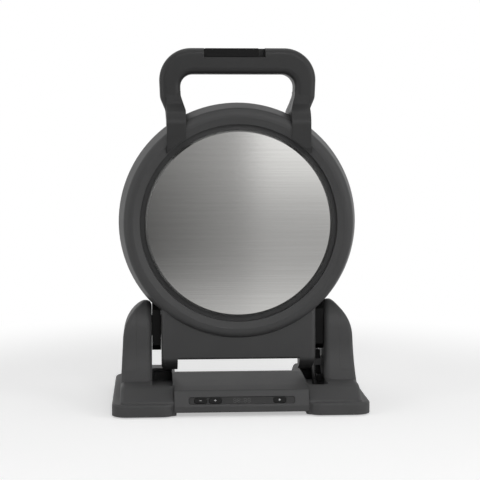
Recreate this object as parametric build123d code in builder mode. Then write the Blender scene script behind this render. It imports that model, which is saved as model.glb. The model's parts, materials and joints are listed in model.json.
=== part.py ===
from build123d import *
import os
from math import acos, atan, atan2, cos, hypot, radians, sin, sqrt

os.makedirs("parts", exist_ok=True)

# Flip waffle maker, standing upright as it is stored. Millimetres.
# X runs to the right, Y to the back, Z up. The origin is on the table, under the middle of the base.
# The head turns about a left-right axis through the two pillars, and its front half opens about the same axis.

# Head
pivot_height = 74.0
head_offset = 100.5
head_radius = 113.5
half_depth = 36.0
parting_gap = 0.5
lip_depth = 6.0
rim_radius = 107.5
rim_round = 7.0
rim_flat_radius = 99.5
wall = 2.6
groove_radius = 93.2
bevel_depth = 3.5
ledge_depth = 27.0
ledge_lap = 7.3
disk_radius = 88.3
disk_depth = 33.5
disk_thickness = 0.8
disk_bevel = 2.2

# Waffle plates
plate_radius = 89.5
plate_gap = 0.8
plate_rim_height = 0.8
plate_rim_thickness = 4.7
pool_radius = 77.0
pool_draft = 2.0
pool_wall = 3.0
pool_depth = 12.0
pool_floor = 3.0
stud_pitch = 22.0
stud_base = 12.6
stud_top_depth = 2.6
stud_draft = 9.0
stud_rows = 6
heater_radius = 58.0
heater_tube = 3.2
heater_arc = 316.0
terminal_radius = 1.6
terminal_length = 14.0
reflector_depth = 23.0
reflector_thickness = 0.6
thermostat_radius = 9.0
thermostat_height = 6.5

# Hinge and flip pivots
hinge_barrel = 9.0
front_barrel_half = 44.5
barrel_end_gap = 0.5
yoke_inner = 52.5
block_half_width = 73.4
yoke_radius = 24.0
turning_gap = 0.7
hinge_pin_radius = 4.0
hinge_pin_half = 64.0
pin_fit = 0.05
tube_radius = 10.0
tube_bore = 7.0
tube_inner_end = 66.0
tube_outer_end = 100.0
bushing_wall = 3.0
bushing_length = 14.0
yoke_web = 4.0
sweep_back = 17.3
apron_front = 31.0
apron_back = 28.2
apron_drop = 29.0
apron_lip_back = 19.5
apron_edge_round = 4.5
apron_foot_round = 2.4
leg_inner = 58.0
leg_radius = 43.0
leg_hollow_radius = 26.0
leg_end_angle = 255.0
leg_bend_round = 6.0
boss_half_angle = 23.0
boss_depth = 22.0
hub_gap = 0.25
lock_notch_depth = 7.0
lock_side_gap = 0.6

# Handle
handle_thickness = 15.1
handle_top = 164.7
handle_bar = 24.4
handle_half_width = 75.5
handle_outer_round = 30.0
handle_root = (67.0, 86.0)
handle_neck = (68.5, 106.0)
handle_waist = (73.5, 118.0)
handle_waist_round = 12.0
grip_half_width = 54.5
grip_round = 12.0
grip_foot_height = 80.0
grip_waist = (54.0, 120.0)
grip_waist_round = 8.0
handle_edge_round = 6.0
strap_inner = 49.5
strap_outer = 67.5
strap_lift = 1.3
strap_bend = 12.0
strap_foot_height = 66.0
strap_foot_bevel = (3.0, 5.0)
strap_top_height = 97.0
strap_fall = (5.0, 7.0)
strap_waist = (19.0, 113.0)
strap_end_height = 124.0
notch_left = -31.8
notch_length = 58.0
notch_depth = 8.7
catch_half_width = 16.0
latch_length = 51.4
latch_travel = 6.0
latch_gap = 0.3

# Base
base_half_width = 119.5
base_half_depth = 82.0
flange_height = 11.3
flange_round = 2.5
foot_inner = 60.0
foot_top = 27.0
foot_toe_top = 14.0
foot_toe_round = 3.0
foot_knee_y = 56.0
foot_knee_z = 25.5
foot_knee_round = 24.0
foot_round = 4.0
foot_corner = 14.0
pad_height = 1.2
pad_radius = 8.0
deck_half_width = 62.0
arch_height = 4.5
base_wall = 3.0
pillar_inner = 82.5
pillar_side = 0.6
pillar_lean = 2.8
pillar_shoulder_z = 65.0
pillar_crown = 42.0
pillar_half_depth = 24.4
pillar_flare = 46.0
pillar_edge_round = 4.0
pillar_inner_round = 5.5
cover_split = 97.0
cover_bore = 11.5
flange_side = 7.5
flange_end = 4.0
cover_foot = 34.0
pocket_inner = 63.0
pocket_front = -56.0
pocket_back = 30.0
pocket_floor = 14.0
lock_width = 4.8
lock_depth = 11.0
lock_travel = 6.5
lock_gap = 0.2
guide_inner = 74.2
guide_half_depth = 9.0
guide_top = 41.0
lock_foot = 16.0
tab_foot = 21.0
tab_height = 7.0
tab_reach = 16.0
deck_back = 13.0
lead_way_y = 0.0
lead_way_z = 12.0
foot_cover_top = 3.6
deck_cover_top = 6.9
cover_gap = 0.2
cover_hollow = 10.0
foot_screw_x = (68.0, 105.0)
foot_screw_y = 67.0
foot_boss_top = 16.2
deck_screw_x = 51.0
deck_screw_front = -58.0
deck_screw_back = 2.0
pad_y = 60.0
inlet_z = 15.0
inlet_flange = 8.5
inlet_neck = 6.0
inlet_bore = 3.2

# Timer strip on the sloping front of the deck
panel_foot_y = -80.0
panel_foot_z = 10.0
panel_top_y = -73.0
panel_top_z = 23.8
strip_length = 98.0
strip_height = 7.0
strip_depth = 1.4
strip_along = 5.8
button_length = 11.4
button_height = 5.0
button_gap = 0.25
button_travel = 0.8
button_proud = 0.2
window_length = 36.0
minus_x = -38.0
plus_x = -24.5
start_x = 35.0
board_thickness = 1.6
board_half_length = 52.0
board_height = 9.0
board_depth = 6.2
button_flange_depth = 3.4

# Fasteners
screw_shank = 1.4
screw_head = 2.4
screw_head_height = 1.4
screw_fit = 0.05
screw_length = 10.0
boss_radius = 3.4
post_inset = 4.0

# Worked out from the sizes above
head_height = pivot_height + head_offset
ledge_inner_radius = disk_radius - ledge_lap
post_ring = ledge_inner_radius + post_inset
foot_outer = base_half_width - flange_side
foot_half_depth = base_half_depth - flange_end
pillar_outer = foot_outer + pillar_side
pillar_shoulder = pillar_outer - pillar_lean
hub_inner = block_half_width + hub_gap
hub_outer = pillar_inner - hub_gap
cut_end = pillar_inner + 2.0
panel_slope = atan2(panel_top_z - panel_foot_z, panel_top_y - panel_foot_y)
head_axis = Axis((0, 0, head_height), (0, 1, 0))
SIDES = (-1, 1)


def save(piece, name):
    """Names a finished sub-part after its file and writes it."""
    piece.part.label = name
    export_step(piece.part, f"parts/{name}.step")


def head_plane(angle=0.0):
    """A plane through the head's axis: local x is the radius at that angle, local y runs to the back."""
    a = radians(angle)
    return Plane(origin=(0, 0, head_height), x_dir=(cos(a), 0, sin(a)), z_dir=(-sin(a), 0, cos(a)))


def facing_plane(y):
    """An upright plane at depth y: local x is X, local y is the height above the head's centre."""
    return Plane(origin=(0, y, head_height), x_dir=(1, 0, 0), z_dir=(0, -1, 0))


def side_plane(x):
    """A plane square to the pivot axis: local x is Y, local y is the height above the pivot."""
    return Plane(origin=(x, 0, pivot_height), x_dir=(0, 1, 0), z_dir=(1, 0, 0))


def near(shapes, x, y, z=0.0):
    """The one of the shapes that lies nearest to a point."""
    return shapes.sort_by_distance((x, y, z))[0]


def ring_profile(side):
    """Section of the moulded rim: radius from the head's axis, depth from the parting plane."""
    return [
        (plate_radius + plate_gap, side * parting_gap),
        (head_radius, side * parting_gap),
        (head_radius, side * lip_depth),
        (rim_radius, side * half_depth),
        (rim_flat_radius, side * half_depth),
        (groove_radius, side * (half_depth - bevel_depth)),
        (groove_radius, side * ledge_depth),
        (ledge_inner_radius, side * ledge_depth),
        (ledge_inner_radius, side * (ledge_depth - wall)),
        (groove_radius + wall, side * (ledge_depth - wall)),
        (rim_flat_radius + 1.5, side * (half_depth - wall)),
        (rim_radius - wall, side * (half_depth - wall)),
        (head_radius - wall, side * lip_depth),
        (head_radius - wall, side * (parting_gap + wall)),
        (plate_radius + plate_gap, side * (parting_gap + wall)),
    ]


def ring(side):
    """The round moulded rim of one half."""
    with BuildPart() as made:
        with BuildSketch(head_plane()) as section:
            with BuildLine():
                Polyline(*ring_profile(side), close=True)
            make_face()
            fillet(near(section.vertices(), rim_radius, side * half_depth), rim_round)
            fillet(near(section.vertices(), rim_flat_radius, side * half_depth), 1.5)
        revolve(axis=head_axis)
    return made.part


def ring_envelope(side):
    """The filled outer form of one half, which the handle's roots are fitted to."""
    with BuildPart() as made:
        with BuildSketch(head_plane()) as section:
            with BuildLine():
                Polyline(
                    (0, 0),
                    (head_radius, 0),
                    (head_radius, side * lip_depth),
                    (rim_radius, side * half_depth),
                    (rim_flat_radius, side * half_depth),
                    (groove_radius, side * (half_depth - bevel_depth)),
                    (groove_radius, side * ledge_depth),
                    (0, side * ledge_depth),
                    close=True,
                )
            make_face()
            fillet(near(section.vertices(), rim_radius, side * half_depth), rim_round)
            fillet(near(section.vertices(), rim_flat_radius, side * half_depth), 1.5)
        revolve(axis=head_axis)
    return made.part


def barrel(radius, start, end):
    """Two round bars along the pivot axis, from one X to another, on both sides of the middle."""
    with BuildPart() as made:
        for s in SIDES:
            with BuildSketch(side_plane(s * start)):
                Circle(radius)
            extrude(amount=s * (end - start))
    return made.part


def middle_barrel(radius, half_length):
    """A round bar along the pivot axis, centred on the middle."""
    with BuildPart() as made:
        with BuildSketch(side_plane(0)):
            Circle(radius)
        extrude(amount=half_length, both=True)
    return made.part


def plate_posts(side):
    """The four posts that carry the waffle plate, hanging from the ledge behind the disk."""
    depth = plate_rim_height + plate_rim_thickness
    with BuildPart() as made:
        with BuildSketch(facing_plane(side * depth)):
            with PolarLocations(post_ring, 4, start_angle=45):
                Circle(boss_radius)
        extrude(amount=-side * (ledge_depth - wall - depth))
    return made.part


def screw_holes(side):
    """The pilot holes of the plate screws, up through the ledge into the posts."""
    with BuildPart() as made:
        with BuildSketch(facing_plane(side * (ledge_depth + 0.1))):
            with PolarLocations(post_ring, 4, start_angle=45):
                Circle(screw_shank + screw_fit)
        extrude(amount=side * (ledge_depth - plate_rim_height - 2.0))
    return made.part


# Apron: the flat cover below the front rim, with two round legs at its ends that turn about the pivot axis.
with BuildPart() as apron:
    with BuildSketch(side_plane(0)):
        with BuildLine():
            Polyline(
                (-apron_front, -apron_drop),
                (-apron_front, yoke_radius),
                (-apron_back, yoke_radius),
                (-apron_back, -apron_drop),
                close=True,
            )
        make_face()
    extrude(amount=block_half_width, both=True)
    fillet(
        near(apron.edges().filter_by(Axis.X), 0, -apron_front, pivot_height - apron_drop),
        apron_foot_round,
    )
    with BuildSketch(side_plane(0)):
        with Locations((-(apron_back + apron_lip_back) / 2 - 0.5, -apron_drop + wall / 2)):
            Rectangle(apron_back - apron_lip_back + 1, wall)
    extrude(amount=leg_inner, both=True)
    end = radians(leg_end_angle)
    for s in SIDES:
        with BuildSketch(side_plane(s * leg_inner)) as leg:
            Circle(leg_radius)
            with BuildLine():
                Polyline(
                    (-apron_front, 0),
                    (-apron_front, -leg_radius),
                    (leg_radius * cos(end), 2 * leg_radius * sin(end)),
                    (leg_radius * cos(end), leg_radius * sin(end)),
                    (0, 0),
                    close=True,
                )
            make_face(mode=Mode.INTERSECT)
            corner = sqrt(leg_radius**2 - apron_front**2)
            fillet(near(leg.vertices(), -apron_front, -corner), leg_bend_round)
            Circle(leg_hollow_radius, mode=Mode.SUBTRACT)
        extrude(amount=s * (block_half_width - leg_inner))
        fillet(near(apron.edges(), s * block_half_width, -apron_front, pivot_height), apron_edge_round)
        with BuildSketch(side_plane(s * (leg_inner + wall))):
            Circle(leg_radius - wall)
            with Locations((-apron_back, 0)):
                Rectangle(
                    2 * leg_radius,
                    2 * leg_radius,
                    align=(Align.MIN, Align.CENTER),
                    mode=Mode.INTERSECT,
                )
        extrude(amount=s * (block_half_width - leg_inner - 2 * wall), mode=Mode.SUBTRACT)
    with BuildSketch(facing_plane(0)):
        Circle(groove_radius + wall)
    extrude(amount=apron_front + 5, mode=Mode.SUBTRACT)

# Front housing: the rim, the apron below it, the hinge boss and the middle barrel of the hinge.
with BuildPart() as front_housing:
    add(ring(-1))
    add(apron.part)
    with BuildSketch(side_plane(0)):
        with Locations((-apron_back / 2 - 1, 0)):
            Rectangle(apron_back - 2, 2 * hinge_barrel - 4)
    extrude(amount=front_barrel_half, both=True)
    with BuildSketch(facing_plane(0)):
        Circle(plate_radius + plate_gap)
    extrude(amount=ledge_depth - wall, mode=Mode.SUBTRACT)
    add(plate_posts(-1))
    with BuildSketch(head_plane(-90 + boss_half_angle)):
        with BuildLine():
            Polyline(
                (plate_radius + plate_gap, -parting_gap),
                (head_radius - wall / 2, -parting_gap),
                (head_radius - wall / 2, -lip_depth),
                (head_radius - wall / 2 - 3.2, -boss_depth),
                (plate_radius + plate_gap, -boss_depth),
                close=True,
            )
        make_face()
    revolve(axis=head_axis, revolution_arc=2 * boss_half_angle)
    add(middle_barrel(hinge_barrel, front_barrel_half))
    add(middle_barrel(hinge_pin_radius + pin_fit, front_barrel_half + 1), mode=Mode.SUBTRACT)
    add(barrel(hinge_barrel + turning_gap, front_barrel_half, yoke_inner), mode=Mode.SUBTRACT)
    add(barrel(yoke_radius + turning_gap, yoke_inner - barrel_end_gap, cut_end), mode=Mode.SUBTRACT)
    add(screw_holes(-1), mode=Mode.SUBTRACT)
save(front_housing, "front_housing")

# Rear housing: the rim, the hinge block below it and the yoke that the head turns on.
with BuildPart() as rear_housing:
    add(ring(1))
    add(plate_posts(1))
    with BuildSketch(side_plane(0)):
        with BuildLine():
            Polyline(
                (parting_gap, -yoke_web),
                (half_depth - wall, -yoke_web),
                (half_depth - wall, yoke_radius),
                (parting_gap, yoke_radius),
                close=True,
            )
        make_face()
    extrude(amount=block_half_width, both=True)
    with BuildSketch(facing_plane(half_depth)):
        Circle(plate_radius + plate_gap)
    extrude(amount=half_depth, mode=Mode.SUBTRACT)
    with BuildSketch(side_plane(0)):
        with BuildLine():
            Polyline((-1, -60), (sweep_back, -60), (sweep_back, 1.8), (-1, 1.8), close=True)
        make_face()
    extrude(amount=yoke_inner - barrel_end_gap, both=True, mode=Mode.SUBTRACT)
    add(middle_barrel(hinge_barrel + turning_gap, front_barrel_half + barrel_end_gap), mode=Mode.SUBTRACT)
    add(barrel(yoke_radius + turning_gap / 2, block_half_width, cut_end), mode=Mode.SUBTRACT)
    add(barrel(hinge_barrel, front_barrel_half + barrel_end_gap, yoke_inner))
    add(barrel(yoke_radius, yoke_inner, block_half_width))
    add(middle_barrel(hinge_pin_radius + pin_fit, hinge_pin_half), mode=Mode.SUBTRACT)
    add(barrel(tube_radius + pin_fit, tube_inner_end, block_half_width), mode=Mode.SUBTRACT)
    add(screw_holes(1), mode=Mode.SUBTRACT)
save(rear_housing, "rear_housing")


def cover_disk(side):
    """The spun steel cover: a flat face with a bevelled, turned-down edge."""
    foot = side * ledge_depth
    top = side * disk_depth
    under = side * (disk_depth - disk_thickness)
    with BuildPart() as made:
        with BuildSketch(head_plane()):
            with BuildLine():
                Polyline(
                    (0, top),
                    (disk_radius - disk_bevel, top),
                    (disk_radius, side * (disk_depth - disk_bevel)),
                    (disk_radius, foot),
                    (disk_radius - disk_thickness, foot),
                    (disk_radius - disk_thickness, side * (disk_depth - disk_bevel - disk_thickness / 2)),
                    (disk_radius - disk_bevel - disk_thickness / 2, under),
                    (0, under),
                    close=True,
                )
            make_face()
        revolve(axis=head_axis)
    return made


def stud_places():
    """Grid places of the waffle studs that fit inside the round pool."""
    reach = pool_radius - stud_base * 0.7
    first = -stud_pitch * (stud_rows - 1) / 2
    steps = [first + stud_pitch * i for i in range(stud_rows)]
    return [(x, z) for x in steps for z in steps if hypot(x, z) < reach]


def grid_plate(side):
    """The cast waffle plate: a sealing rim, a pool and its grid of tapered square studs."""
    back = pool_depth + pool_floor
    rim_back = plate_rim_height + plate_rim_thickness
    with BuildPart() as made:
        with BuildSketch(head_plane()):
            with BuildLine():
                Polyline(
                    (0, side * pool_depth),
                    (pool_radius, side * pool_depth),
                    (pool_radius + pool_draft, side * plate_rim_height),
                    (plate_radius, side * plate_rim_height),
                    (plate_radius, side * rim_back),
                    (post_ring - boss_radius - 0.2, side * rim_back),
                    (pool_radius + pool_wall, side * back),
                    (0, side * back),
                    close=True,
                )
            make_face()
        revolve(axis=head_axis)
        with BuildSketch(facing_plane(side * pool_depth)):
            with Locations(*stud_places()):
                Rectangle(stud_base, stud_base)
        extrude(amount=side * (pool_depth - stud_top_depth), taper=stud_draft)
        with BuildSketch(facing_plane(side * rim_back)):
            with PolarLocations(post_ring, 4, start_angle=45):
                Circle(screw_shank + screw_fit)
        extrude(amount=side * (rim_back - 2.4), mode=Mode.SUBTRACT)
    return made


def heater(side):
    """The tubular heating element, an open loop with its two cold pins."""
    depth = side * (pool_depth + pool_floor + heater_tube)
    start = -90 - (360 - heater_arc) / 2
    with BuildPart() as made:
        with BuildSketch(head_plane(start)):
            with Locations((heater_radius, depth)):
                Circle(heater_tube)
        revolve(axis=head_axis, revolution_arc=heater_arc)
        for end, turn in ((start, -1), (start - heater_arc, 1)):
            a = radians(end)
            centre = (heater_radius * cos(a), depth, head_height + heater_radius * sin(a))
            away = (sin(a) * turn, 0, -cos(a) * turn)
            with BuildSketch(Plane(origin=centre, x_dir=(0, 1, 0), z_dir=away)):
                Circle(terminal_radius)
            extrude(amount=-terminal_length)
    return made


def reflector(side):
    """The sheet dish that keeps the heat away from the housing."""
    rim = side * (pool_depth + pool_floor)
    floor = side * reflector_depth
    t = reflector_thickness
    with BuildPart() as made:
        with BuildSketch(head_plane()):
            with BuildLine():
                Polyline(
                    (0, floor),
                    (pool_radius - 4, floor),
                    (pool_radius + 1, rim),
                    (pool_radius + 1 + t, rim),
                    (pool_radius - 4 + t, floor + side * t),
                    (0, floor + side * t),
                    close=True,
                )
            make_face()
        revolve(axis=head_axis)
    return made


def thermostat(side):
    """The disc thermostat on the back of the plate, inside the heater's loop."""
    depth = side * (pool_depth + pool_floor)
    with BuildPart() as made:
        with BuildSketch(facing_plane(depth)):
            Circle(thermostat_radius)
        extrude(amount=-side * thermostat_height)
        with BuildSketch(facing_plane(depth)):
            Rectangle(3.4 * thermostat_radius, 7)
        extrude(amount=-side * 1.2)
    return made


def plate_screws(side):
    """The four screws that hold the plate: heads on the ledge, shanks in the posts."""
    head_seat = ledge_depth
    with BuildPart() as made:
        with BuildSketch(facing_plane(side * head_seat)):
            with PolarLocations(post_ring, 4, start_angle=45):
                Circle(screw_shank)
        extrude(amount=side * (head_seat - plate_rim_height - 2.2))
        with BuildSketch(facing_plane(side * head_seat)):
            with PolarLocations(post_ring, 4, start_angle=45):
                Circle(screw_head)
        extrude(amount=-side * screw_head_height)
    return made


def handle_arch(side):
    """One half of the D-shaped handle, without its notch."""
    low = handle_top - handle_bar
    grip_outline = [
        (-strap_inner, grip_foot_height),
        (-strap_inner, handle_neck[1]),
        (-grip_waist[0], grip_waist[1]),
        (-grip_half_width, low),
        (grip_half_width, low),
        grip_waist,
        (strap_inner, handle_neck[1]),
        (strap_inner, grip_foot_height),
    ]
    grip_rounds = [grip_waist_round] * 2 + [grip_round] * 2 + [grip_waist_round] * 2
    with BuildPart() as made:
        with BuildSketch(facing_plane(side * parting_gap)) as outline:
            with BuildLine():
                Polyline(
                    handle_root,
                    handle_neck,
                    handle_waist,
                    (handle_half_width, handle_top),
                    (-handle_half_width, handle_top),
                    (-handle_waist[0], handle_waist[1]),
                    (-handle_neck[0], handle_neck[1]),
                    (-handle_root[0], handle_root[1]),
                    close=True,
                )
            make_face()
            for s in SIDES:
                fillet(near(outline.vertices(), s * handle_half_width, handle_top), handle_outer_round)
                for x, z in (handle_waist, handle_neck):
                    fillet(near(outline.vertices(), s * x, z), handle_waist_round)
            with BuildLine():
                FilletPolyline(*grip_outline, radius=grip_rounds)
                Line(grip_outline[-1], grip_outline[0])
            make_face(mode=Mode.SUBTRACT)
        extrude(amount=-side * handle_thickness)
        fillet(
            made.faces().sort_by(Axis.Y)[-1 if side > 0 else 0].edges().filter_by_position(
                Axis.Z, head_height + handle_root[1] + 2, head_height + handle_top + 1
            ),
            handle_edge_round,
        )
        for s in SIDES:
            middle = s * (strap_inner + strap_outer) / 2
            out = half_depth + strap_lift
            fall, drop = strap_fall
            shoulder = strap_top_height + drop
            with BuildSketch(Plane(origin=(middle, 0, head_height), x_dir=(0, 1, 0), z_dir=(1, 0, 0))) as bend:
                with BuildLine():
                    Polyline(
                        (side * parting_gap, strap_foot_height),
                        (side * (out - strap_foot_bevel[0]), strap_foot_height),
                        (side * out, strap_foot_height + strap_foot_bevel[1]),
                        (side * out, strap_top_height),
                        (side * (out - fall), shoulder),
                        (side * strap_waist[0], strap_waist[1]),
                        (side * (parting_gap + handle_thickness - 2), strap_end_height),
                        (side * parting_gap, strap_end_height),
                        close=True,
                    )
                make_face()
                for y, z in ((out, strap_top_height), (out - fall, shoulder), strap_waist):
                    fillet(near(bend.vertices(), side * y, z), strap_bend)
            extrude(amount=(strap_outer - strap_inner) / 2, both=True)
        with BuildSketch(facing_plane(side * parting_gap)) as opening:
            with BuildLine():
                FilletPolyline(*grip_outline, radius=grip_rounds)
                Line(grip_outline[-1], grip_outline[0])
            make_face()
        extrude(amount=-side * 2 * half_depth, mode=Mode.SUBTRACT)
        add(ring_envelope(side), mode=Mode.SUBTRACT)
        with BuildSketch(facing_plane(side * (half_depth + 10))):
            Circle(groove_radius + 0.6)
        extrude(amount=side * (half_depth + 20), mode=Mode.SUBTRACT)
        with BuildSketch(facing_plane(side * parting_gap)):
            if side < 0:
                with Locations((notch_left + notch_length / 2, handle_top)):
                    Rectangle(notch_length, 2 * notch_depth)
            else:
                with Locations((0, handle_top)):
                    Rectangle(2 * catch_half_width, 2 * notch_depth)
        extrude(amount=-side * handle_thickness, mode=Mode.SUBTRACT)
    return made.part


# Latch geometry, above the head's centre
latch_floor = handle_top - notch_depth + latch_gap
latch_top = handle_top - latch_gap
latch_left = notch_left + latch_gap
tongue_left = -20.0
tongue_length = 30.0
tongue_y = -8.0
tongue_width = 4.0
tongue_drop = 6.0
hook_left = -12.0
hook_neck = 2.7
toe_length = 10.0
toe_front = 4.6
toe_back = 8.6
catch_start = -0.8
catch_length = 16.8
catch_back = 4.0

with BuildPart() as front_handle:
    add(handle_arch(-1))
    with BuildSketch(facing_plane(tongue_y)):
        with Locations((tongue_left + (tongue_length + latch_travel) / 2, latch_floor - tongue_drop / 2)):
            Rectangle(tongue_length + latch_travel + 2 * latch_gap, tongue_drop + 2 * latch_gap)
    extrude(amount=tongue_width / 2 + latch_gap, both=True, mode=Mode.SUBTRACT)
save(front_handle, "front_handle")

with BuildPart() as rear_handle:
    add(handle_arch(1))
    with BuildSketch(facing_plane(parting_gap + 0.1)):
        with Locations((catch_start + catch_length / 2, handle_top - notch_depth / 2 - 0.5)):
            Rectangle(catch_length, notch_depth - 1.0 + 0.2)
    extrude(amount=-(catch_back - parting_gap - 0.1))
save(rear_handle, "rear_handle")

# Handle latch: a slide in the notch on top, with a hook that reaches behind the rear half's catch.
with BuildPart() as handle_latch:
    with BuildSketch(facing_plane(-parting_gap - 0.3)):
        with Locations((latch_left + latch_length / 2, (latch_floor + latch_top) / 2)):
            Rectangle(latch_length, latch_top - latch_floor)
    extrude(amount=handle_thickness - 1.3)
    fillet(handle_latch.edges().filter_by(Axis.Y), 1.2)
    with BuildSketch(facing_plane(-handle_thickness / 2 - parting_gap)):
        with Locations((latch_left + latch_length / 2, latch_top)):
            with GridLocations(4.0, 1, 9, 1):
                Circle(0.8)
    extrude(amount=handle_thickness / 2 - 3, both=True, mode=Mode.SUBTRACT)
    with BuildSketch(facing_plane(tongue_y)):
        with Locations((tongue_left + tongue_length / 2, latch_floor - tongue_drop / 2 + 0.5)):
            Rectangle(tongue_length, tongue_drop + 1)
    extrude(amount=tongue_width / 2, both=True)
    with BuildSketch(Plane.XY.offset(head_height + latch_floor + 1.2)):
        with BuildLine():
            Polyline(
                (hook_left, -3),
                (hook_left, toe_back),
                (hook_left + toe_length, toe_back),
                (hook_left + toe_length, toe_front),
                (hook_left + hook_neck, toe_front),
                (hook_left + hook_neck, -3),
                close=True,
            )
        make_face()
    extrude(amount=5.0)
save(handle_latch, "handle_latch")

for name, side in (("front", -1), ("rear", 1)):
    save(cover_disk(side), f"{name}_disk")
    save(grid_plate(side), f"{name}_grid_plate")
    save(heater(side), f"{name}_heater")
    save(reflector(side), f"{name}_reflector")
    save(thermostat(side), f"{name}_thermostat")
    save(plate_screws(side), f"{name}_plate_screws")

# Pivot hubs: dark discs between the hinge block and the pillars, with a flat at the front and the back, over
# which the storage lock stands when the head lies flat. The right one is notched for the lock when upright.
with BuildPart() as pivot_hubs:
    for s in SIDES:
        with BuildSketch(side_plane(s * hub_inner)):
            Circle(yoke_radius)
            Rectangle(2 * (yoke_radius - lock_notch_depth), 2 * yoke_radius, mode=Mode.INTERSECT)
            Circle(tube_radius + pin_fit, mode=Mode.SUBTRACT)
            if s > 0:
                with Locations((0, -yoke_radius)):
                    Rectangle(lock_depth + 2 * lock_side_gap, 2 * lock_notch_depth, mode=Mode.SUBTRACT)
        extrude(amount=s * (hub_outer - hub_inner))
save(pivot_hubs, "pivot_hubs")

# Pivot tubes: the hollow steel trunnions that the head turns on and the leads pass through.
with BuildPart() as pivot_tubes:
    for s in SIDES:
        with BuildSketch(side_plane(s * tube_inner_end)):
            Circle(tube_radius)
            Circle(tube_bore, mode=Mode.SUBTRACT)
        extrude(amount=s * (tube_outer_end - tube_inner_end))
save(pivot_tubes, "pivot_tubes")

with BuildPart() as lid_hinge_pin:
    with BuildSketch(side_plane(0)):
        Circle(hinge_pin_radius)
    extrude(amount=hinge_pin_half - 0.5, both=True)
    chamfer(lid_hinge_pin.edges().filter_by(GeomType.CIRCLE), 0.5)
save(lid_hinge_pin, "lid_hinge_pin")

bushing_start = pillar_inner + 0.3
with BuildPart() as pivot_bushings:
    for s in SIDES:
        with BuildSketch(side_plane(s * bushing_start)):
            Circle(tube_radius + bushing_wall)
            Circle(tube_radius + pin_fit, mode=Mode.SUBTRACT)
        extrude(amount=s * bushing_length)
save(pivot_bushings, "pivot_bushings")


def pillar_zone(s):
    """The space inside the pillar's outer side: a drafted wall that bends over into a round shoulder."""
    lean = pillar_lean / (pillar_shoulder_z - pad_height - flange_height)
    turn = atan(lean)
    centre_x = pillar_shoulder - pillar_crown * cos(turn)
    centre_z = pillar_shoulder_z - pillar_crown * sin(turn)
    crown_angle = acos((pillar_inner - centre_x) / pillar_crown)
    middle = (turn + crown_angle) / 2
    top = (pillar_inner, centre_z + pillar_crown * sin(crown_angle))
    with BuildPart() as made:
        with BuildSketch(Plane(origin=(0, 0, 0), x_dir=(s, 0, 0), z_dir=(0, -s, 0))):
            with BuildLine():
                Polyline(
                    top,
                    (pillar_inner, 0),
                    (pillar_outer + lean * (pad_height + flange_height), 0),
                    (pillar_shoulder, pillar_shoulder_z),
                )
                ThreePointArc(
                    (pillar_shoulder, pillar_shoulder_z),
                    (centre_x + pillar_crown * cos(middle), centre_z + pillar_crown * sin(middle)),
                    top,
                )
            make_face()
        extrude(amount=base_half_depth, both=True)
    return made.part


def pillar(s):
    """One pillar: a round top about the pivot axis on a foot that flares to the front and back."""
    foot_z = pad_height + flange_height - pivot_height
    bend_z = foot_z + pillar_flare
    half = pillar_half_depth
    bulge = pillar_flare * (1 - sqrt(0.5))
    with BuildPart() as made:
        with BuildSketch(side_plane(s * pillar_inner)):
            with BuildLine():
                ThreePointArc(
                    (-half - pillar_flare, foot_z),
                    (-half - bulge, foot_z + bulge),
                    (-half, bend_z),
                )
                Line((-half, bend_z), (-half, 0))
                ThreePointArc((-half, 0), (0, half), (half, 0))
                Line((half, 0), (half, bend_z))
                ThreePointArc(
                    (half, bend_z),
                    (half + bulge, foot_z + bulge),
                    (half + pillar_flare, foot_z),
                )
                Line((half + pillar_flare, foot_z), (-half - pillar_flare, foot_z))
            make_face()
        extrude(amount=s * (pillar_outer + 1 - pillar_inner))
        add(pillar_zone(s), mode=Mode.INTERSECT)
        fillet(near(made.edges(), s * pillar_shoulder, -half, pillar_shoulder_z - 3), pillar_edge_round)
        fillet(near(made.edges(), s * pillar_inner, -half, pillar_shoulder_z), pillar_inner_round)
    return made.part


def foot(s, inset=0.0):
    """One foot above its flange, low at the toes and higher in the middle. The inset gives its hollow."""
    toe = foot_half_depth - inset
    knee = foot_knee_y
    with BuildPart() as made:
        with BuildSketch(Plane(origin=(s * (foot_inner + inset), 0, 0), x_dir=(0, 1, 0), z_dir=(1, 0, 0))) as outline:
            with BuildLine():
                Polyline(
                    (-toe, 0),
                    (-toe, foot_toe_top - inset),
                    (-knee, foot_knee_z - inset),
                    (0, foot_top - inset),
                    (knee, foot_knee_z - inset),
                    (toe, foot_toe_top - inset),
                    (toe, 0),
                    close=True,
                )
            make_face()
            for t in SIDES:
                fillet(near(outline.vertices(), t * knee, foot_knee_z - inset), foot_knee_round)
                fillet(near(outline.vertices(), t * toe, foot_toe_top - inset), foot_toe_round)
        extrude(amount=s * (foot_outer - foot_inner - 2 * inset))
        if not inset:
            for x in (foot_inner, foot_outer):
                fillet(near(made.edges(), s * x, 1, foot_top), foot_round)
    return made.part


def flange(s):
    """The broad flange round one foot, with a rounded upper edge."""
    with BuildPart() as made:
        with BuildSketch(Plane.XY.offset(pad_height)):
            with Locations((s * (foot_inner + base_half_width) / 2, 0)):
                RectangleRounded(base_half_width - foot_inner, 2 * base_half_depth, foot_corner)
        extrude(amount=flange_height)
        fillet(made.faces().sort_by(Axis.Z)[-1].edges(), flange_round)
    return made.part


def cover_zone(s):
    """The space of one pillar cover: the outer half of the pillar, above its foot."""
    with BuildPart() as made:
        with BuildSketch(Plane.XY.offset(cover_foot)):
            with Locations((s * (cover_split + 20), 0)):
                Rectangle(40, 2 * base_half_depth)
        extrude(amount=pivot_height)
    return made.part


def panel_plane(lift):
    """A plane along the sloping timer strip, raised from the outer surface by lift."""
    y = panel_foot_y + strip_along * cos(panel_slope) - lift * sin(panel_slope)
    z = panel_foot_z + strip_along * sin(panel_slope) + lift * cos(panel_slope)
    return Plane(origin=(0, y, z), x_dir=(1, 0, 0), z_dir=(0, -sin(panel_slope), cos(panel_slope)))


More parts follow.
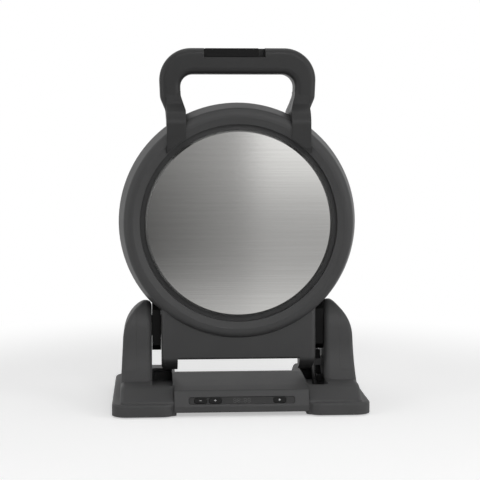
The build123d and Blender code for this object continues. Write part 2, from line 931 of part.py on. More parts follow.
foot_screws = [(s * x, y) for s in SIDES for x in foot_screw_x for y in (-foot_screw_y, foot_screw_y)]
deck_screws = [(s * deck_screw_x, y) for s in SIDES for y in (deck_screw_front, deck_screw_back)]
foot_middle = (foot_inner + foot_outer) / 2
hollow_inner = foot_inner + base_wall
hollow_outer = foot_outer - base_wall
hollow_middle = (hollow_inner + hollow_outer) / 2
hollow_half_depth = foot_half_depth - base_wall
lock_middle = (guide_inner + pillar_inner) / 2 - 0.3

# Base shell: two long feet, the deck between them and the two pillars.
with BuildPart() as base_shell:
    for s in SIDES:
        add(foot(s))
        add(flange(s))
    with BuildSketch(Plane.XY):
        with Locations(*[(s * foot_middle, 0) for s in SIDES]):
            Rectangle(2 * base_half_width, 3 * base_half_depth)
    extrude(amount=pad_height, mode=Mode.SUBTRACT)
    with BuildSketch(Plane(origin=(0, 0, 0), x_dir=(0, 1, 0), z_dir=(1, 0, 0))) as deck:
        with BuildLine():
            Polyline(
                (panel_foot_y + 0.5, arch_height),
                (panel_foot_y, panel_foot_z),
                (panel_top_y, panel_top_z),
                (-55, 25),
                (0, foot_top),
                (deck_back, foot_top - 1),
                (deck_back, arch_height),
                close=True,
            )
        make_face()
        fillet(near(deck.vertices(), panel_top_y, panel_top_z), 3)
        fillet(near(deck.vertices(), deck_back, foot_top - 1), 3)
    extrude(amount=deck_half_width, both=True)
    for s in SIDES:
        add(pillar(s))
        add(cover_zone(s), mode=Mode.SUBTRACT)
        # Hollow foot, open below
        add(foot(s, base_wall), mode=Mode.SUBTRACT)
        # Pocket beside the pillar
        with BuildSketch(Plane.XY.offset(pocket_floor - base_wall)):
            with Locations((s * (pocket_inner + pillar_inner) / 2, (pocket_front + pocket_back) / 2)):
                Rectangle(
                    pillar_inner - pocket_inner + 2 * base_wall,
                    pocket_back - pocket_front + 2 * base_wall,
                )
        extrude(amount=foot_knee_z - pocket_floor)
        with BuildSketch(Plane.XY.offset(pocket_floor)):
            with Locations((s * (pocket_inner + pillar_inner) / 2, (pocket_front + pocket_back) / 2)):
                RectangleRounded(pillar_inner - pocket_inner, pocket_back - pocket_front, 4)
        extrude(amount=foot_top, mode=Mode.SUBTRACT)
        # Hollow pillar, open to its cover and to the foot
        with BuildSketch(Plane.XY.offset(foot_top - base_wall - 0.5)):
            with Locations((s * (pillar_inner + base_wall + cover_split + 1) / 2, 0)):
                Rectangle(cover_split + 1 - pillar_inner - base_wall, 2 * (pillar_half_depth - base_wall))
        extrude(amount=pivot_height - tube_radius - bushing_wall - foot_top, mode=Mode.SUBTRACT)
        # Bore of the pivot bushing, open to the slot between pillar and head
        with BuildSketch(side_plane(s * (pillar_inner - 1))):
            Circle(tube_radius + bushing_wall)
        extrude(amount=s * (cover_split - pillar_inner + 2), mode=Mode.SUBTRACT)
    # Hollow deck
    with BuildSketch(Plane(origin=(0, 0, 0), x_dir=(0, 1, 0), z_dir=(1, 0, 0))):
        with BuildLine():
            Polyline(
                (panel_foot_y + 3.5, 0),
                (panel_foot_y + 3.3, panel_foot_z - 0.5),
                (panel_top_y + 2.2, panel_top_z - 3),
                (-54.8, 22),
                (0, foot_top - base_wall),
                (deck_back - base_wall, foot_top - base_wall - 0.8),
                (deck_back - base_wall, 0),
                close=True,
            )
        make_face()
    extrude(amount=deck_half_width - 5, both=True, mode=Mode.SUBTRACT)
    # Way for the leads from the deck to both feet
    with BuildSketch(Plane(origin=(0, 0, 0), x_dir=(0, 1, 0), z_dir=(1, 0, 0))):
        with Locations((lead_way_y, lead_way_z)):
            RectangleRounded(12, 8, 2)
    extrude(amount=hollow_inner + 1, both=True, mode=Mode.SUBTRACT)
    # Guide of the storage lock, beside the right pillar
    with BuildSketch(Plane.XY.offset(pocket_floor)):
        with Locations(((guide_inner + pillar_inner) / 2 + 0.3, 0)):
            Rectangle(pillar_inner - guide_inner + 0.6, 2 * guide_half_depth)
    extrude(amount=guide_top - pocket_floor)
    with BuildSketch(Plane.XY.offset(lock_foot - lock_gap)):
        with Locations((lock_middle, 0)):
            Rectangle(lock_width + 2 * lock_gap, lock_depth + 2 * lock_gap)
    extrude(amount=pivot_height, mode=Mode.SUBTRACT)
    with BuildSketch(Plane.XY.offset(tab_foot - lock_gap)):
        with Locations((lock_middle, -guide_half_depth)):
            Rectangle(lock_width + 2 * lock_gap, lock_depth)
    extrude(amount=tab_height + lock_travel + 2 * lock_gap, mode=Mode.SUBTRACT)
    # Bosses of the bottom screws
    for places, low, high in (
        (foot_screws, foot_cover_top, foot_boss_top),
        (deck_screws, deck_cover_top, foot_top - base_wall + 0.3),
    ):
        with BuildSketch(Plane.XY.offset(low)):
            with Locations(*places):
                Circle(boss_radius)
        extrude(amount=high - low)
        with BuildSketch(Plane.XY.offset(low)):
            with Locations(*places):
                Circle(screw_shank + screw_fit)
        extrude(amount=screw_length, mode=Mode.SUBTRACT)
    # Timer strip: a shallow recess, three button holes and the window hole
    with BuildSketch(panel_plane(1)):
        RectangleRounded(strip_length, strip_height, 2)
    extrude(amount=-(strip_depth + 1), mode=Mode.SUBTRACT)
    with BuildSketch(panel_plane(1)):
        with Locations((minus_x, 0), (plus_x, 0), (start_x, 0)):
            RectangleRounded(button_length + 2 * button_gap, button_height + 2 * button_gap, 2.2)
        Rectangle(window_length - 6, strip_height - 3)
    extrude(amount=-6, mode=Mode.SUBTRACT)
    # Posts of the timer board
    with BuildSketch(panel_plane(-strip_depth - 1)):
        with Locations((-board_half_length + 3, 0), (board_half_length - 3, 0)):
            Circle(2.2)
    extrude(amount=-(board_depth - strip_depth - 1))
    # Hole of the cord inlet in the deck's back wall
    with BuildSketch(Plane(origin=(0, deck_back + 1, inlet_z), x_dir=(1, 0, 0), z_dir=(0, -1, 0))):
        Circle(inlet_neck + 0.1)
    extrude(amount=base_wall + 2, mode=Mode.SUBTRACT)
save(base_shell, "base_shell")

for name, s in (("left", -1), ("right", 1)):
    with BuildPart() as pillar_cover:
        add(pillar(s))
        add(cover_zone(s), mode=Mode.INTERSECT)
        with BuildSketch(Plane.XY.offset(cover_foot - 1)):
            with Locations((s * (cover_split + cover_hollow / 2 - 1), 0)):
                Rectangle(cover_hollow + 2, 2 * (pillar_half_depth - 2 * base_wall))
        extrude(amount=pillar_shoulder_z - cover_foot - 1, mode=Mode.SUBTRACT)
        with BuildSketch(side_plane(s * (cover_split - 1))):
            Circle(cover_bore)
        extrude(amount=s * (tube_outer_end - cover_split + 2), mode=Mode.SUBTRACT)
    save(pillar_cover, f"{name}_pillar_cover")

    with BuildPart() as foot_cover:
        with BuildSketch(Plane.XY.offset(pad_height)):
            with Locations((s * hollow_middle, 0)):
                Rectangle(hollow_outer - hollow_inner - 2 * cover_gap, 2 * (hollow_half_depth - cover_gap))
        extrude(amount=foot_cover_top - pad_height)
        with BuildSketch(Plane.XY.offset(pad_height)):
            with Locations(*[place for place in foot_screws if place[0] * s > 0]):
                Circle(screw_head + 0.3)
        extrude(amount=screw_head_height + 0.2, mode=Mode.SUBTRACT)
        with BuildSketch(Plane.XY.offset(pad_height)):
            with Locations(*[place for place in foot_screws if place[0] * s > 0]):
                Circle(screw_shank + 0.3)
        extrude(amount=foot_cover_top, mode=Mode.SUBTRACT)
    save(foot_cover, f"{name}_foot_cover")

with BuildPart() as deck_cover:
    with BuildSketch(Plane.XY.offset(arch_height)):
        with Locations((0, (panel_foot_y + 3.5 + deck_back - base_wall) / 2)):
            Rectangle(
                2 * (deck_half_width - 5 - cover_gap),
                deck_back - base_wall - panel_foot_y - 3.5 - 2 * cover_gap,
            )
    extrude(amount=deck_cover_top - arch_height)
    with BuildSketch(Plane.XY.offset(arch_height)):
        with Locations(*deck_screws):
            Circle(screw_head + 0.3)
    extrude(amount=screw_head_height + 0.2, mode=Mode.SUBTRACT)
    with BuildSketch(Plane.XY.offset(arch_height)):
        with Locations(*deck_screws):
            Circle(screw_shank + 0.3)
    extrude(amount=deck_cover_top, mode=Mode.SUBTRACT)
save(deck_cover, "deck_bottom_cover")

# Bottom screws, one kind: heads in the covers' recesses, shanks in the shell's bosses.
with BuildPart() as base_screws:
    for places, seat in ((foot_screws, pad_height), (deck_screws, arch_height)):
        with BuildSketch(Plane.XY.offset(seat + 0.2)):
            with Locations(*places):
                Circle(screw_head)
        extrude(amount=screw_head_height)
        with BuildSketch(Plane.XY.offset(seat + 0.2)):
            with Locations(*places):
                Circle(screw_shank)
        extrude(amount=screw_length)
save(base_screws, "base_screws")

with BuildPart() as rubber_feet:
    with BuildSketch(Plane.XY):
        with Locations(*[(s * foot_middle, y) for s in SIDES for y in (-pad_y, pad_y)]):
            Circle(pad_radius)
    extrude(amount=pad_height)
save(rubber_feet, "rubber_feet")

with BuildPart() as timer_window:
    with BuildSketch(panel_plane(-strip_depth)):
        RectangleRounded(strip_length - 2 * cover_gap, strip_height - 2 * cover_gap, 1.8)
        with Locations((minus_x, 0), (plus_x, 0), (start_x, 0)):
            RectangleRounded(
                button_length + 2 * button_gap,
                button_height + 2 * button_gap,
                2.2,
                mode=Mode.SUBTRACT,
            )
    extrude(amount=strip_depth - 0.2)
save(timer_window, "timer_window")

with BuildPart() as timer_board:
    with BuildSketch(panel_plane(-board_depth)):
        Rectangle(2 * board_half_length, board_height)
    extrude(amount=-board_thickness)
    with BuildSketch(panel_plane(-board_depth)):
        with Locations((minus_x, 0), (plus_x, 0), (start_x, 0)):
            Rectangle(5, 4)
    extrude(amount=board_depth - button_flange_depth - 1.0 - button_travel - 0.1)
    with BuildSketch(panel_plane(-board_depth)):
        Rectangle(window_length - 8, strip_height - 3.5)
    extrude(amount=board_depth - strip_depth - 0.2)
save(timer_board, "timer_board")

for name, x in (("minus", minus_x), ("plus", plus_x), ("start", start_x)):
    with BuildPart() as button:
        with BuildSketch(panel_plane(button_proud)):
            with Locations((x, 0)):
                RectangleRounded(button_length, button_height, 2.0)
        extrude(amount=-(button_proud + button_flange_depth))
        with BuildSketch(panel_plane(-button_flange_depth)):
            with Locations((x, 0)):
                RectangleRounded(button_length + 1.6, button_height + 1.6, 2.4)
        extrude(amount=-1.0)
    save(button, f"{name}_button")

# Storage lock: a bolt beside the right pillar, with its thumb tab in the pocket.
with BuildPart() as storage_lock:
    with BuildSketch(Plane.XY.offset(lock_foot)):
        with Locations((lock_middle, 0)):
            Rectangle(lock_width, lock_depth)
    extrude(amount=pivot_height - yoke_radius - 0.8 - lock_foot)
    with BuildSketch(Plane.XY.offset(tab_foot)):
        with Locations((lock_middle, -(lock_depth / 2 + tab_reach) / 2)):
            Rectangle(lock_width, lock_depth / 2 + tab_reach)
    extrude(amount=tab_height)
    chamfer(storage_lock.faces().sort_by(Axis.Z)[-1].edges(), 0.6)
save(storage_lock, "storage_lock")

with BuildPart() as cord_inlet:
    with BuildSketch(Plane(origin=(0, deck_back, inlet_z), x_dir=(1, 0, 0), z_dir=(0, -1, 0))):
        Circle(inlet_flange)
    extrude(amount=-2.5)
    with BuildSketch(Plane(origin=(0, deck_back, inlet_z), x_dir=(1, 0, 0), z_dir=(0, -1, 0))):
        Circle(inlet_neck)
    extrude(amount=base_wall + 1)
    with BuildSketch(Plane(origin=(0, deck_back + 3, inlet_z), x_dir=(1, 0, 0), z_dir=(0, -1, 0))):
        Circle(inlet_bore)
    extrude(amount=base_wall + 6, mode=Mode.SUBTRACT)
save(cord_inlet, "cord_inlet")
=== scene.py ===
# %% [markdown]
# # A flip waffle maker in the studio
# The solids of this appliance were made in CAD, one for each real piece, and they stay where they are.
# Blender adds what CAD leaves out: the finish of each piece, the small printed marks, the light and the
# camera. Everything is in metres, with Z up, X to the right and Y to the back.

# %% Load the frame
import json
from math import cos, radians, sin

import bmesh
import bpy
from mathutils import Matrix, Vector


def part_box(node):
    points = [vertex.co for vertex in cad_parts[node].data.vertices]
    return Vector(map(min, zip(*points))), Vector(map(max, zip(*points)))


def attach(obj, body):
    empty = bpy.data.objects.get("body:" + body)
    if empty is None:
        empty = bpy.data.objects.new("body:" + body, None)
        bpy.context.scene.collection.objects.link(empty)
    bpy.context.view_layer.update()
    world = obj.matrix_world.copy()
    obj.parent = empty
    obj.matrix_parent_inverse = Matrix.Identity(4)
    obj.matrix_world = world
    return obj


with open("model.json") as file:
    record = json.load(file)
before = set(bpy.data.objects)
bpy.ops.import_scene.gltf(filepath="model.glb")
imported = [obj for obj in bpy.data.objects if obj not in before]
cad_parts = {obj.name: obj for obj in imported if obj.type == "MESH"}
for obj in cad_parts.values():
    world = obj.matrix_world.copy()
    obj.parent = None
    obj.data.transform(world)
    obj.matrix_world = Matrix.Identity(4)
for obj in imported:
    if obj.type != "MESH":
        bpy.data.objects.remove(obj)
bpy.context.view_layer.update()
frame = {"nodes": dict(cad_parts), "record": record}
nodes = frame["nodes"]

MM = 0.001

# %% [markdown]
# ## Writing shader maths as Python
# A finish is a small network of nodes. Wiring them one at a time is slow to write and hard to read, so one
# class wraps a socket and lets `1 - mask` or `grain * 0.2` add the Math nodes by itself. Every other kind
# of node comes from one method, which takes the node's settings first and then what goes into its sockets.


# %% A socket that understands arithmetic
class Wire:
    """An output socket inside one finish, which Python's operators can be used on."""

    def __init__(self, finish, socket):
        self.finish = finish
        self.socket = socket

    def maths(self, operation, first, second):
        return self.finish.node("Math", {"operation": operation}, {0: first, 1: second})

    def __add__(self, other):
        return self.maths("ADD", self, other)

    def __radd__(self, other):
        return self.maths("ADD", other, self)

    def __sub__(self, other):
        return self.maths("SUBTRACT", self, other)

    def __rsub__(self, other):
        return self.maths("SUBTRACT", other, self)

    def __mul__(self, other):
        return self.maths("MULTIPLY", self, other)

    def __rmul__(self, other):
        return self.maths("MULTIPLY", other, self)


class Finish:
    """One material: its nodes are added by node(), and its surface by coat()."""

    def __init__(self, name):
        self.material = bpy.data.materials.new(name)
        self.material.use_nodes = True
        self.tree = self.material.node_tree
        self.tree.nodes.clear()
        self.place = self.node("TexCoord", output="Object")

    def node(self, kind, settings=None, sockets=None, output=0):
        made = self.tree.nodes.new("ShaderNode" + kind)
        for name, value in (settings or {}).items():
            if name == "stops":
                while len(made.color_ramp.elements) < len(value):
                    made.color_ramp.elements.new(0.5)
                for element, (position, colour) in zip(made.color_ramp.elements, value):
                    element.position = position
                    element.color = colour
            else:
                setattr(made, name, value)
        for name, value in (sockets or {}).items():
            if isinstance(value, Wire):
                self.tree.links.new(value.socket, made.inputs[name])
            else:
                made.inputs[name].default_value = value
        return Wire(self, made.outputs[output]) if made.outputs else None

    def stretched(self, along_x, along_y, along_z):
        """The object's own coordinates, stretched, for grain that runs one way."""
        stretch = (along_x, along_y, along_z)
        return self.node("VectorMath", {"operation": "MULTIPLY"}, {0: self.place, 1: stretch})

    def noise(self, scale, detail=2.0, roughness=0.5, place=None):
        """Cloudy noise between 0 and 1."""
        where = place or self.place
        sockets = {"Vector": where, "Scale": scale, "Detail": detail, "Roughness": roughness}
        return self.node("TexNoise", {}, sockets)

    def between(self, mask, dark, light):
        """A colour that runs from dark to light as the mask runs from 0 to 1."""
        sockets = {0: mask, 6: (*dark, 1), 7: (*light, 1)}
        return self.node("Mix", {"data_type": "RGBA"}, sockets, output=2)

    def bumped(self, height, distance, strength=1.0, edge=0.0):
        """A normal with fine relief. With an edge radius, sharp corners catch light as moulded ones do."""
        sockets = {"Height": height, "Distance": distance, "Strength": strength}
        if edge:
            sockets["Normal"] = self.node("Bevel", {"samples": 4}, {"Radius": edge})
        return self.node("Bump", {}, sockets)

    def coat(self, **sockets):
        """Adds the surface shader. A name such as base_color stands for the socket Base Color."""
        named = {}
        for name, value in sockets.items():
            named[name.replace("_", " ").title().replace("Ior", "IOR")] = value
        surface = self.node("BsdfPrincipled", {}, named)
        self.node("OutputMaterial", {}, {"Surface": surface})
        return self.material


# %% [markdown]
# ## Moulded plastic
# The housings, the handle and the base are dark grey plastics, moulded against a finely eroded steel tool,
# which leaves a grain that can be felt but hardly seen. Three layers make it: a fine grain in the relief,
# a slower cloud in the roughness, and a slight drift in the colour. A small edge radius rounds the corners
# in the shading only, so that they catch the light. The surfaces mirror less than clear plastic would,
# because the camera looks along the tops, where a strong mirror would turn them pale.


# %% Plastics
def moulded_plastic(name, dark, light, roughness, grain, shine, edge=0.7 * MM):
    """Plastic between two greys. Grain is the depth of its texture, and shine how strongly it mirrors."""
    finish = Finish(name)
    fine = finish.noise(1500, detail=3)
    cloud = finish.noise(45, detail=4)
    handled = finish.noise(11, detail=5, roughness=0.6)
    colour = finish.between(cloud * 0.6 + handled * 0.4, dark, light)
    return finish.coat(
        base_color=colour,
        roughness=cloud * 0.10 + handled * 0.08 + (roughness - 0.09),
        normal=finish.bumped(fine, grain, 0.5, edge),
        specular_ior_level=shine,
    )


def grey(level):
    """A grey with a trace of blue."""
    return (level, level, level * 1.01)


coarse_grain = 0.10 * MM
fine_grain = 0.08 * MM
faint_grain = 0.03 * MM
sharp_edge = 0.4 * MM
housing_plastic = moulded_plastic("housing_plastic", grey(0.040), grey(0.054), 0.50, coarse_grain, 0.25)
handle_plastic = moulded_plastic("handle_plastic", grey(0.018), grey(0.026), 0.46, fine_grain, 0.25)
base_plastic = moulded_plastic("base_plastic", grey(0.050), grey(0.068), 0.56, coarse_grain, 0.22)
# Nearly black: partly the pieces' own black plastic, partly painted shade, darkened further for the shade
# in the pillar slots where the hubs sit.
black_plastic = moulded_plastic(
    "black_plastic", grey(0.003), grey(0.005), 0.46, faint_grain, 0.12, edge=sharp_edge
)
print("plastics ready")

# %% [markdown]
# ## Brushed steel
# Each half has a steel cover, brushed in straight lines from side to side before it was pressed. The lines
# smear what the metal mirrors up and down more than sideways, which is why the real disk shows tall bands
# smear. Very fine relief that changes mostly with height gives that smear. The bevel round
# the edge is given a paler metal colour and no lines, a painted highlight that draws a bright line round
# the disk: a mask on the distance from the head's axis tells the two apart.


# %% Metals
disk_low, disk_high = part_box("front_disk")
head_axis = (0, 0, (disk_low.z + disk_high.z) / 2)
bevel_width = 2.1 * MM
# Past this radius the bevel takes a paler metal colour, a painted highlight for the bright line round the
# disk.
highlight_ring_radius = disk_high.x - bevel_width
painted_highlight_metal = (0.92, 0.92, 0.91, 1)


def brushed_steel(name, dark, light, relief):
    finish = Finish(name)
    lines = finish.noise(1.0, detail=3, place=finish.stretched(14, 900, 2600))
    streaks = finish.noise(1.0, detail=2, place=finish.stretched(5, 300, 420))
    smudge = finish.noise(22, detail=4)
    from_axis = finish.node("VectorMath", {"operation": "SUBTRACT"}, {0: finish.place, 1: head_axis})
    across = finish.node("VectorMath", {"operation": "MULTIPLY"}, {0: from_axis, 1: (1, 0, 1)})
    radius = finish.node("VectorMath", {"operation": "LENGTH"}, {0: across}, output="Value")
    bright = finish.node("Math", {"operation": "GREATER_THAN"}, {0: radius, 1: highlight_ring_radius})
    brushed = finish.between(streaks * 0.7 + lines * 0.3, dark, light)
    # The paler metal on the bevel ring is a painted highlight.
    either = finish.node("Mix", {"data_type": "RGBA"}, {0: bright, 6: brushed, 7: painted_highlight_metal}, output=2)
    return finish.coat(
        base_color=either,
        metallic=1.0,
        roughness=lines * 0.03 + smudge * 0.04 + bright * 0.10 + 0.07,
        normal=finish.bumped(lines * (1 - bright), relief, 0.5),
    )


def plain_metal(name, dark, light, roughness, scale=120):
    finish = Finish(name)
    cloud = finish.noise(scale, detail=4)
    return finish.coat(
        base_color=finish.between(cloud, dark, light),
        metallic=1.0,
        roughness=cloud * 0.14 + (roughness - 0.07),
        normal=finish.bumped(cloud, 0.03 * MM, 0.4, 0.2 * MM),
    )


disk_steel = brushed_steel("disk_steel", (0.56, 0.555, 0.54), (0.66, 0.655, 0.64), 0.02 * MM)
turned_steel = plain_metal("turned_steel", (0.42, 0.42, 0.42), (0.60, 0.60, 0.59), 0.30)
reflector_sheet = plain_metal("reflector_sheet", (0.70, 0.70, 0.70), (0.82, 0.82, 0.82), 0.26, 30)
heater_steel = plain_metal("heater_steel", (0.16, 0.14, 0.12), (0.34, 0.31, 0.27), 0.45, 60)
print("metals ready")

# %% [markdown]
# ## The other finishes
# The cast plates carry a dark non-stick coat with fine pale flecks, and a soft sheen where the batter
# touches. Rubber pads are matt, the window is smoked, and the nylon bushings are off-white.


# %% Non-stick coat, rubber, window and the small ones
def nonstick_coat(name):
    finish = Finish(name)
    cells = finish.node("TexVoronoi", {}, {"Vector": finish.place, "Scale": 1100.0}, output="Distance")
    fleck_stops = [(0.0, (1, 1, 1, 1)), (0.12, (0, 0, 0, 1))]
    flecks = finish.node("ValToRGB", {"stops": fleck_stops}, {"Fac": cells})
    cast = finish.noise(500, detail=3)
    cloud = finish.noise(40, detail=4)
    return finish.coat(
        base_color=finish.between(flecks * 0.6 + cloud * 0.2, grey(0.020), (0.16, 0.16, 0.155)),
        metallic=0.25,
        roughness=cloud * 0.12 + 0.30,
        normal=finish.bumped(cast, 0.06 * MM, 0.5, 0.4 * MM),
    )


def plain_finish(name, dark, light, roughness, scale=200, relief=0.05 * MM, **more):
    finish = Finish(name)
    cloud = finish.noise(scale, detail=4)
    return finish.coat(
        base_color=finish.between(cloud, dark, light),
        roughness=cloud * 0.12 + (roughness - 0.06),
        normal=finish.bumped(cloud, relief, 0.4, 0.3 * MM),
        **more,
    )


plate_coat = nonstick_coat("plate_coat")
pad_rubber = plain_finish("pad_rubber", grey(0.012), grey(0.022), 0.75, 900, 0.10 * MM)
inlet_rubber = plain_finish("inlet_rubber", grey(0.016), grey(0.026), 0.62, 700)
window_lens = plain_finish(
    "window_lens", grey(0.004), grey(0.007), 0.16, scale=30, relief=0.0, specular_ior_level=0.18
)
bushing_nylon = plain_finish("bushing_nylon", (0.62, 0.61, 0.57), (0.74, 0.73, 0.69), 0.42)
circuit_board = plain_finish("circuit_board", (0.010, 0.060, 0.025), (0.018, 0.090, 0.036), 0.35, 260)
mark_ink = plain_finish("mark_ink", grey(0.52), grey(0.62), 0.50, 600)
unlit_segment = plain_finish("unlit_segment", grey(0.020), grey(0.026), 0.30, 300)
print("small finishes ready")

# %% [markdown]
# ## Dressing the solids
# Each CAD piece has one material slot. A table says which finish goes with which of the record's slots,
# and the heaters and the cord inlet get their own, because they share a slot with unlike pieces.

# %% Hand each piece its finish
finish_of_slot = {
    "housing_plastic": housing_plastic,
    "handle_plastic": handle_plastic,
    "base_plastic": base_plastic,
    "black_plastic": black_plastic,
    "brushed_steel": disk_steel,
    "cast_plate": plate_coat,
    "steel_parts": turned_steel,
    "reflector_sheet": reflector_sheet,
    "rubber": pad_rubber,
    "window_lens": window_lens,
    "board": circuit_board,
    "bushing_nylon": bushing_nylon,
}
finish_of_node = {
    "front_heater": heater_steel,
    "rear_heater": heater_steel,
    "cord_inlet": inlet_rubber,
}
for entry in frame["record"]["subparts"]:
    piece = nodes[entry["node"]]
    finish = finish_of_node.get(entry["node"], finish_of_slot[entry["material_slot"]])
    for material_slot in piece.material_slots:
        material_slot.material = finish
print("dressed", len(nodes), "pieces")

# %% [markdown]
# ## The timer strip
# The strip on the sloping front of the base has three buttons and a smoked window. The buttons carry
# printed marks, a bar, a cross and an arrow head, and four unlit digits sit behind the window's face. The
# strip leans back, so one matrix lays anything drawn flat onto it.

# %% A matrix for the sloping strip
panel_run, panel_rise = 7.0, 13.8
panel_tilt = Vector((0, panel_run, panel_rise)).normalized()
panel_out = Vector((0, -panel_tilt.z, panel_tilt.y))
outer_face = 0.02 * MM


def on_panel(centre):
    """The placing of a flat drawing whose X is the object's X and whose Y climbs the strip."""
    axes = Matrix((Vector((1, 0, 0)), panel_tilt, panel_out)).transposed()
    return Matrix.Translation(centre) @ axes.to_4x4()


def top_of(node):
    """The middle of a piece's outer face: the centre of its points that lie furthest out of the strip."""
    points = [v.co for v in nodes[node].data.vertices]
    reach = max(p.dot(panel_out) for p in points)
    face = [p for p in points if p.dot(panel_out) > reach - outer_face]
    low = Vector([min(p[i] for p in face) for i in range(3)])
    high = Vector([max(p[i] for p in face) for i in range(3)])
    return (low + high) / 2


print("window face at", [round(v, 4) for v in top_of("timer_window")])


# %% Flat marks, cut from outlines
def flat_mark(name, outlines, placing, material, body, thickness=0.06 * MM):
    """A thin raised print: each outline becomes a face, is thickened and takes its place."""
    mesh = bmesh.new()
    for outline in outlines:
        low = [mesh.verts.new((x * MM, y * MM, 0)) for x, y in outline]
        high = [mesh.verts.new((x * MM, y * MM, thickness)) for x, y in outline]
        mesh.faces.new(reversed(low))
        mesh.faces.new(high)
        for i in range(len(outline)):
            j = (i + 1) % len(outline)
            mesh.faces.new((low[i], low[j], high[j], high[i]))
    mesh.transform(placing)
    bmesh.ops.recalc_face_normals(mesh, faces=mesh.faces)
    data = bpy.data.meshes.new(name)
    mesh.to_mesh(data)
    mesh.free()
    data.materials.append(material)
    made = bpy.data.objects.new(name, data)
    bpy.context.collection.objects.link(made)
    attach(made, body)
    return made


def bar(x, y, width, height):
    return [
        (x - width / 2, y - height / 2),
        (x + width / 2, y - height / 2),
        (x + width / 2, y + height / 2),
        (x - width / 2, y + height / 2),
    ]


mark = 2.2
stroke = 0.45
arm = (mark - stroke) / 2
arm_centre = (mark + stroke) / 4
minus_outline = [bar(0, 0, mark, stroke)]
plus_outline = [bar(0, 0, mark, stroke), bar(0, arm_centre, stroke, arm), bar(0, -arm_centre, stroke, arm)]
arrow_outline = [[(-0.9, -1.1), (1.1, 0), (-0.9, 1.1)]]
for button, outline in (("minus", minus_outline), ("plus", plus_outline), ("start", arrow_outline)):
    body = f"{button}_button"
    flat_mark(f"{button}_mark", outline, on_panel(top_of(body)), mark_ink, body)
print("three marks printed")

# %% Four unlit digits
digit_width = 2.4
digit_height = 3.6
digit_stroke = 0.42
digit_places = (-6.6, -3.0, 3.0, 6.6)
colon_height = 0.9
colon_dot = 0.5


def seven_segments(x):
    """The seven bars of one digit centred at x."""
    half_w = digit_width / 2
    half_h = digit_height / 2
    flat = digit_width - digit_stroke * 1.6
    upright = half_h - digit_stroke * 1.6
    bars = [bar(x, y, flat, digit_stroke) for y in (-half_h, 0, half_h)]
    for side in (-1, 1):
        for end in (-1, 1):
            bars.append(bar(x + side * half_w, end * half_h / 2, digit_stroke, upright))
    return bars


segments = [outline for x in digit_places for outline in seven_segments(x)]
segments += [bar(0, y, colon_dot, colon_dot) for y in (-colon_height, colon_height)]
window_place = on_panel(top_of("timer_window"))
flat_mark("timer_digits", segments, window_place, unlit_segment, "stand")
print("digits:", len(segments), "bars")

# %% [markdown]
# ## The studio
# The real object was shown on a pure white ground, with a faint shadow close to the feet, and metal that
# mirrors something dark on the left and something bright on the right. Here it stands on a pale table whose
# front edge is out of the picture. Near the object the table keeps its shadow, and further off it fades to
# pure white, so it has no horizon. A tall card with a dark and a bright side stands in front, behind the
# camera, for the steel to mirror. The brushing and the rest of the room soften the card's edge to a paler
# middle on the disk.

# %% Table and card
table_half = 6.0
table_front = -0.45
table_glow = 0.44
shadow_reach = (0.26, 0.58)


def stage_sheet(name, corners, material):
    mesh = bmesh.new()
    mesh.faces.new([mesh.verts.new(corner) for corner in corners])
    data = bpy.data.meshes.new(name)
    mesh.to_mesh(data)
    mesh.free()
    data.materials.append(material)
    made = bpy.data.objects.new(name, data)
    bpy.context.collection.objects.link(made)
    return made


def seen_directly(finish):
    """1 for what the camera sees, also by way of metal or glass, and 0 for light that falls on things."""
    camera = finish.node("LightPath", output="Is Camera Ray")
    glossy = finish.node("LightPath", output="Is Glossy Ray")
    clear = finish.node("LightPath", output="Is Transmission Ray")
    return finish.node("Math", {"operation": "MAXIMUM"}, {0: camera, 1: glossy + clear})


def ramp(finish, value, start, end):
    """Runs from 0 at start to 1 at end, smoothly."""
    sockets = {"Value": value, "From Min": start, "From Max": end}
    return finish.node("MapRange", {"interpolation_type": "SMOOTHSTEP"}, sockets)


def table_finish():
    finish = Finish("studio_table")
    seen = seen_directly(finish)
    away = finish.node("VectorMath", {"operation": "LENGTH"}, {0: finish.place}, output="Value")
    glow = finish.node("Emission", {}, {"Color": (1, 1, 1, 1), "Strength": table_glow})
    dark = finish.node("Emission", {}, {"Strength": 0.0})
    white = finish.node("Emission", {}, {"Color": (1, 1, 1, 1), "Strength": 1.0})
    paper = finish.node("BsdfDiffuse", {}, {"Color": (0.80, 0.80, 0.80, 1)})
    added = finish.node("MixShader", {}, {0: seen, 1: dark, 2: glow})
    near = finish.node("AddShader", {}, {0: paper, 1: added})
    faded = seen * ramp(finish, away, *shadow_reach)
    surface = finish.node("MixShader", {}, {0: faded, 1: near, 2: white})
    finish.node("OutputMaterial", {}, {"Surface": surface})
    return finish.material


def card_finish():
    """A dark side that lightens to the middle, a bright side, and both brighter at top and bottom."""
    finish = Finish("studio_card")
    x = finish.node("SeparateXYZ", {}, {0: finish.place}, output="X")
    z = finish.node("SeparateXYZ", {}, {0: finish.place}, output="Z")
    side = finish.node("Math", {"operation": "GREATER_THAN"}, {0: x, 1: card_break})
    low = ramp(finish, z, -0.02, -0.16)
    high = ramp(finish, z, 0.03, 0.25)
    left = ramp(finish, x, -0.16, 0.14) * 0.28 + low * 0.42 + high * 0.16 + 0.08
    right = low * 0.42 + high * 0.78 + 0.52
    level = side * right + (1 - side) * left
    black = (0, 0, 0, 1)
    return finish.coat(base_color=black, roughness=1.0, emission_color=level, emission_strength=1.0)


card_y = -1.60
card_break = 0.121
card_left, card_right = -0.8, 0.9
card_bottom, card_top = -0.6, 0.9
t = table_half
table_corners = [(-t, table_front, 0), (t, table_front, 0), (t, t, 0), (-t, t, 0)]
card_corners = [
    (card_left, card_y, card_bottom),
    (card_right, card_y, card_bottom),
    (card_right, card_y, card_top),
    (card_left, card_y, card_top),
]
stage_sheet("table", table_corners, table_finish())
stage_sheet("card", card_corners, card_finish())

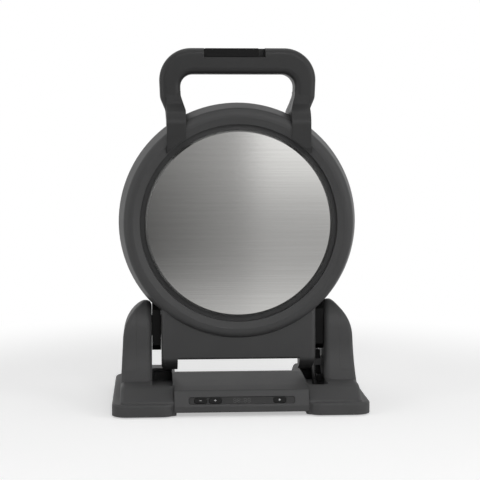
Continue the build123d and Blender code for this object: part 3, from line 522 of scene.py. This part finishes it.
world = bpy.data.worlds.new("white_room")
bpy.context.scene.world = world
world.use_nodes = True
world.node_tree.nodes.clear()
room = Finish.__new__(Finish)  # the world has its own node tree, so no material is made for it
room.tree = world.node_tree
wall_strength, ceiling_strength = 0.62, 0.12
seen = seen_directly(room)
toward = room.node("TexCoord", output="Generated")
upward = room.node("SeparateXYZ", {}, {0: toward}, output="Z")
walls = room.node("Background", {}, {"Color": (1, 1, 1, 1), "Strength": wall_strength})
ceiling = room.node("Background", {}, {"Color": (1, 1, 1, 1), "Strength": ceiling_strength})
white = room.node("Background", {}, {"Color": (1, 1, 1, 1), "Strength": 1.0})
fill = room.node("MixShader", {}, {0: ramp(room, upward, 0.2, 0.7), 1: walls, 2: ceiling})
sky = room.node("MixShader", {}, {0: seen, 1: fill, 2: white})
room.node("OutputWorld", {}, {"Surface": sky})
print("stage set")


# %% Soft lamps
def soft_lamp(name, place, aim, width, height, power):
    light = bpy.data.lights.new(name, "AREA")
    light.shape = "RECTANGLE"
    light.size = width
    light.size_y = height
    light.energy = power
    made = bpy.data.objects.new(name, light)
    made.location = place
    made.rotation_euler = (Vector(aim) - Vector(place)).to_track_quat("-Z", "Y").to_euler()
    bpy.context.collection.objects.link(made)
    return made


middle = (0, 0, 0.16)
soft_lamp("overhead", (0.0, 0.2, 1.7), middle, 1.4, 1.2, 4)
soft_lamp("over_camera", (0.1, -1.5, 0.95), middle, 1.0, 0.5, 7)
soft_lamp("from_right", (1.5, -1.0, 0.6), middle, 0.6, 1.2, 8)
soft_lamp("from_left", (-1.6, -0.7, 0.5), middle, 0.5, 1.2, 5)
print("four lamps")

# %% [markdown]
# ## The camera
# The photograph was taken almost straight from the front, a little from the left and from above, with a
# long lens. The distance and the lens were measured from the ellipses and the base in the picture.

# %% Place the camera
camera_distance = 1.350
camera_azimuth = radians(-3.5)
camera_height = radians(5.2)
aim = Vector((0.0029, 0, 0.156))
sensor_width = 36.0
metres_per_pixel = 0.965 * MM
picture_width = 480

direction = Vector(
    (
        sin(camera_azimuth) * cos(camera_height),
        -cos(camera_azimuth) * cos(camera_height),
        sin(camera_height),
    )
)
lens = bpy.data.cameras.new("camera")
lens.sensor_fit = "HORIZONTAL"
lens.sensor_width = sensor_width
lens.lens = sensor_width * camera_distance / (metres_per_pixel * picture_width)
camera = bpy.data.objects.new("camera", lens)
camera.location = aim + direction * camera_distance
camera.rotation_euler = (-direction).to_track_quat("-Z", "Y").to_euler()
bpy.context.collection.objects.link(camera)
bpy.context.scene.camera = camera
bpy.context.scene.view_settings.view_transform = "Standard"
print("lens", round(lens.lens, 1), "mm")
